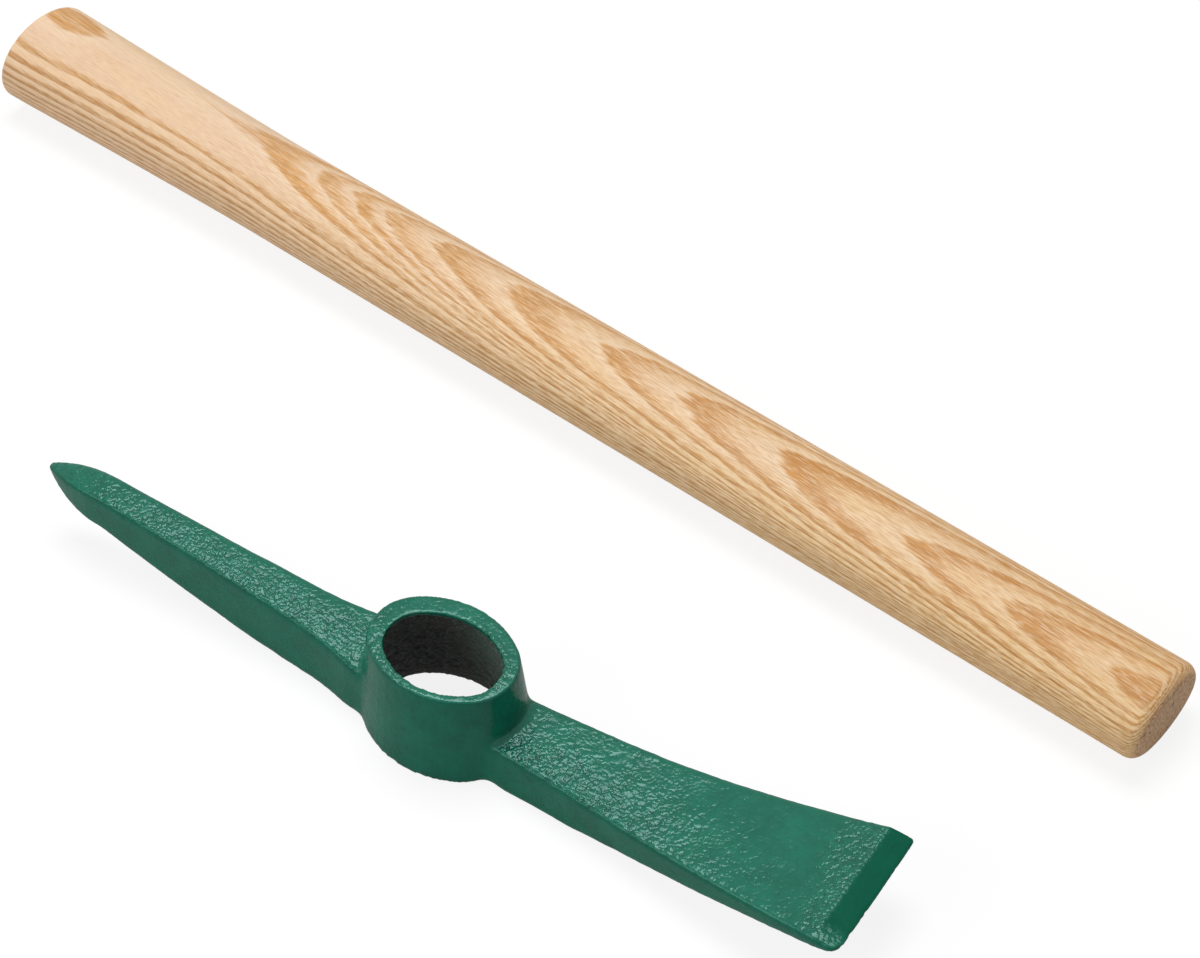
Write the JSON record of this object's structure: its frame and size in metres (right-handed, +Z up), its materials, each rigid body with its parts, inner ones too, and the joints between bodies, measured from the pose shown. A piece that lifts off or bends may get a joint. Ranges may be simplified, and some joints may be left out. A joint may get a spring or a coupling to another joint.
{
  "type": "pick mattock",
  "caption": "Small pick mattock taken apart: forged steel head with a pick point, an adze blade and a tapered oval eye, beside its loose oval slip-fit ash handle.",
  "frame": {"origin": "on the axis of the head's eye, at the plane on which both pieces rest", "axes": "+X along the head from the pick to the blade, +Y across the head towards the loose handle, +Z up, from the eye's wide end to its narrow end"},
  "size_m": [0.401, 0.1706, 0.029],
  "materials": {
    "green_enamel": "gloss enamel over a rough forging",
    "ash_wood": "satin, bare sanded ash"
  },
  "bodies": {
    "head": {"pick_head": "green_enamel"},
    "loose_handle": {"handle": "ash_wood"}
  },
  "joints": [
    {"name": "handle_lift", "type": "slide", "parent": "head", "child": "loose_handle", "axis": [0, 0, 1], "range_m": [0, 0.3]}
  ]
}
